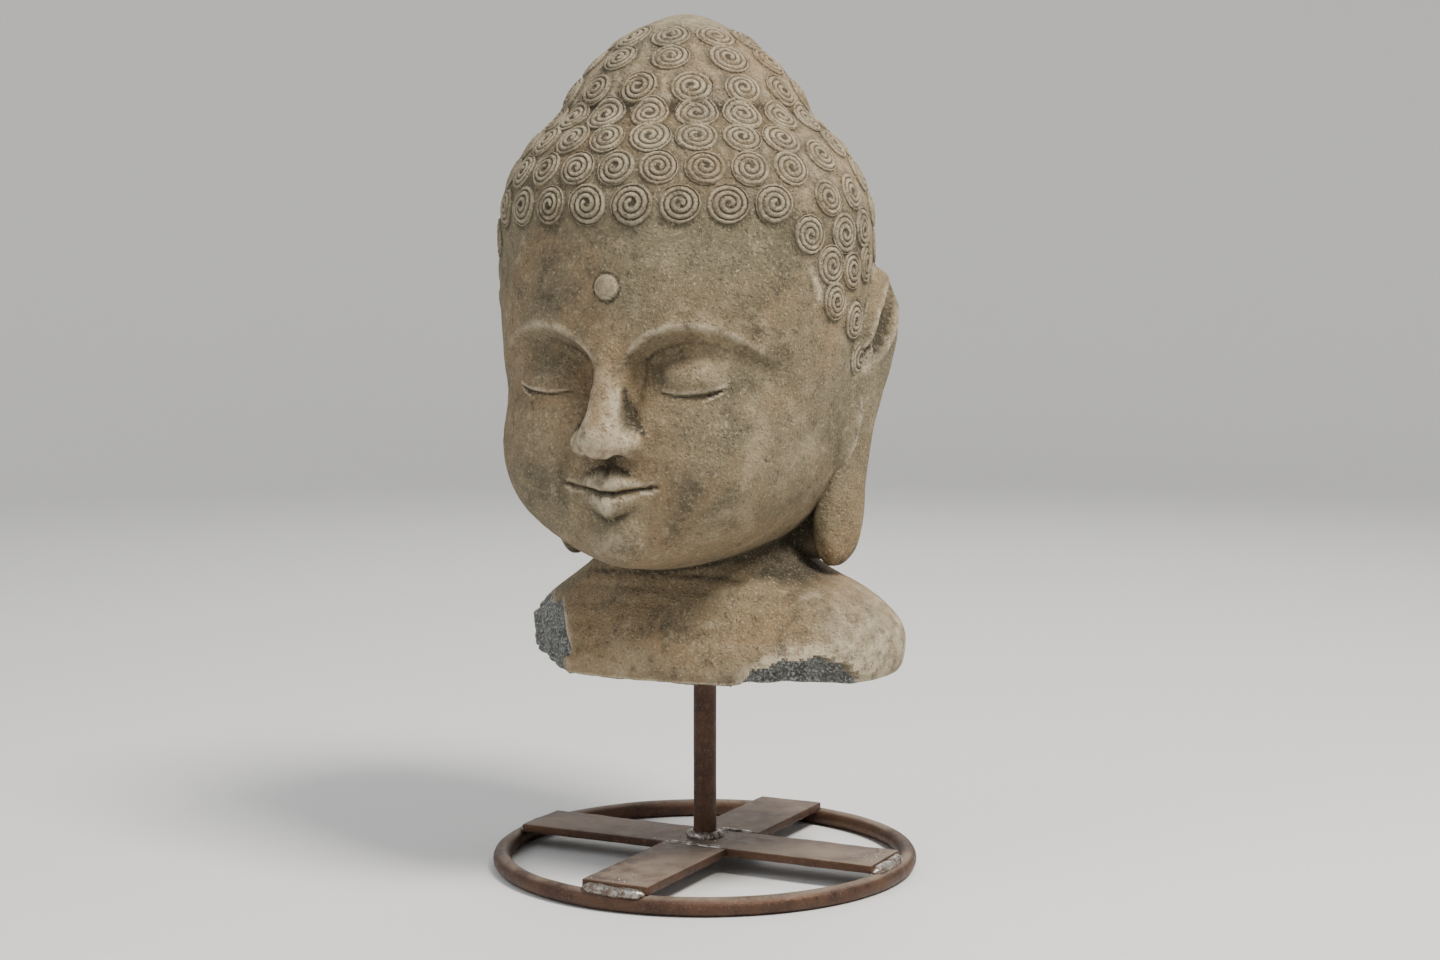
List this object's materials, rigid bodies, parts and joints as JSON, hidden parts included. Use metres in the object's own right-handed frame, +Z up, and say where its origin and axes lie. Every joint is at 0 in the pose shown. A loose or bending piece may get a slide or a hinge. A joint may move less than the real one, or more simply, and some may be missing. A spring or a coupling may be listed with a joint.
{
  "type": "stone buddha head on an iron stand",
  "caption": "Carved stone head with rows of snail curls, a domed topknot and long ears, cut off at the shoulders and carried by a post on a ring foot with crossed flats.",
  "frame": {"origin": "on the surface the stand rests on, under the middle of the whole object's footprint", "axes": "+Z up, the face looks along -Y, +X towards the head's own left ear"},
  "size_m": [0.2601, 0.282, 0.514],
  "materials": {
    "stone": "weathered carved volcanic stone, fine pits, tan patina, grey where freshly broken",
    "iron": "dark rust-brown iron bar and flat, waxed, slightly glossy, welds bright"
  },
  "bodies": {
    "root": {"stone_head": "stone", "stand_post": "iron", "foot_long_bar": "iron", "foot_short_bar_front": "iron", "foot_short_bar_back": "iron", "foot_ring": "iron"}
  },
  "joints": []
}
